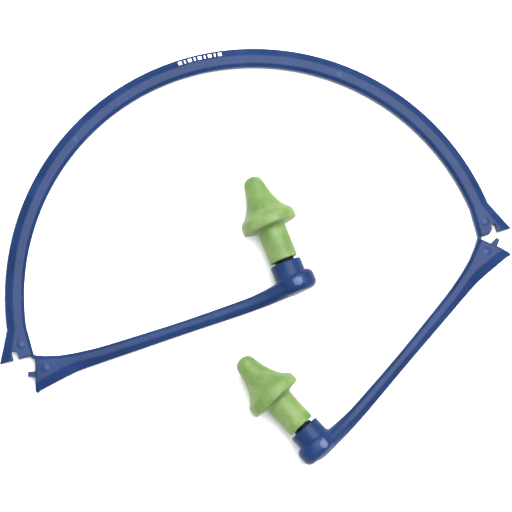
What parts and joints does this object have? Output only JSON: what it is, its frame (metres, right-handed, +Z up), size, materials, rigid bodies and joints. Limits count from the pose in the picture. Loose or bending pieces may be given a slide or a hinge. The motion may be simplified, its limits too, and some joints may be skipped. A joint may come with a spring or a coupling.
{
  "type": "banded ear plugs",
  "caption": "Folding hearing protection band: a slim moulded arc with two hinged side arms, each ending in a collar that holds a flanged conical foam ear plug.",
  "frame": {"origin": "underside of the band at the middle of the crown, on the surface that the folded band lies on", "axes": "+X from the left hinge to the right hinge, +Y outward over the crown, +Z up from the surface the band lies on"},
  "size_m": [0.1594, 0.1285, 0.0168],
  "materials": {
    "band_plastic": "satin",
    "stem_rubber": "matte",
    "plug_foam": "matte"
  },
  "bodies": {
    "headband": {"headband_arc": "band_plastic", "left_hinge_web": "band_plastic", "right_hinge_web": "band_plastic"},
    "left_arm": {"left_arm": "band_plastic"},
    "right_arm": {"right_arm": "band_plastic"},
    "left_stem": {"left_plug_stem": "stem_rubber"},
    "right_stem": {"right_plug_stem": "stem_rubber"},
    "left_plug": {"left_foam_plug": "plug_foam"},
    "right_plug": {"right_foam_plug": "plug_foam"}
  },
  "joints": [
    {"name": "left_fold", "type": "hinge", "parent": "headband", "child": "left_arm", "pos_m": [-0.0693, -0.07225, 0.00205], "axis": [0, 0, 1], "range_deg": [-10, 24]},
    {"name": "right_fold", "type": "hinge", "parent": "headband", "child": "right_arm", "pos_m": [0.0693, -0.07225, 0.00205], "axis": [0, 0, -1], "range_deg": [-38.3, 6]},
    {"name": "left_stem_turn", "type": "hinge", "parent": "left_arm", "child": "left_stem", "pos_m": [0.01038, -0.07169, 0.00855], "axis": [-0.1094, 0.994, -0.0084], "continuous": true},
    {"name": "right_stem_turn", "type": "hinge", "parent": "right_arm", "child": "right_stem", "pos_m": [0.00464, -0.11992, 0.00866], "axis": [-0.4529, 0.8914, -0.0142], "continuous": true},
    {"name": "left_plug_pull", "type": "slide", "parent": "left_stem", "child": "left_plug", "axis": [-0.1094, 0.994, -0.0084], "range_m": [0, 0.012]},
    {"name": "right_plug_pull", "type": "slide", "parent": "right_stem", "child": "right_plug", "axis": [-0.4529, 0.8914, -0.0142], "range_m": [0, 0.012]}
  ]
}
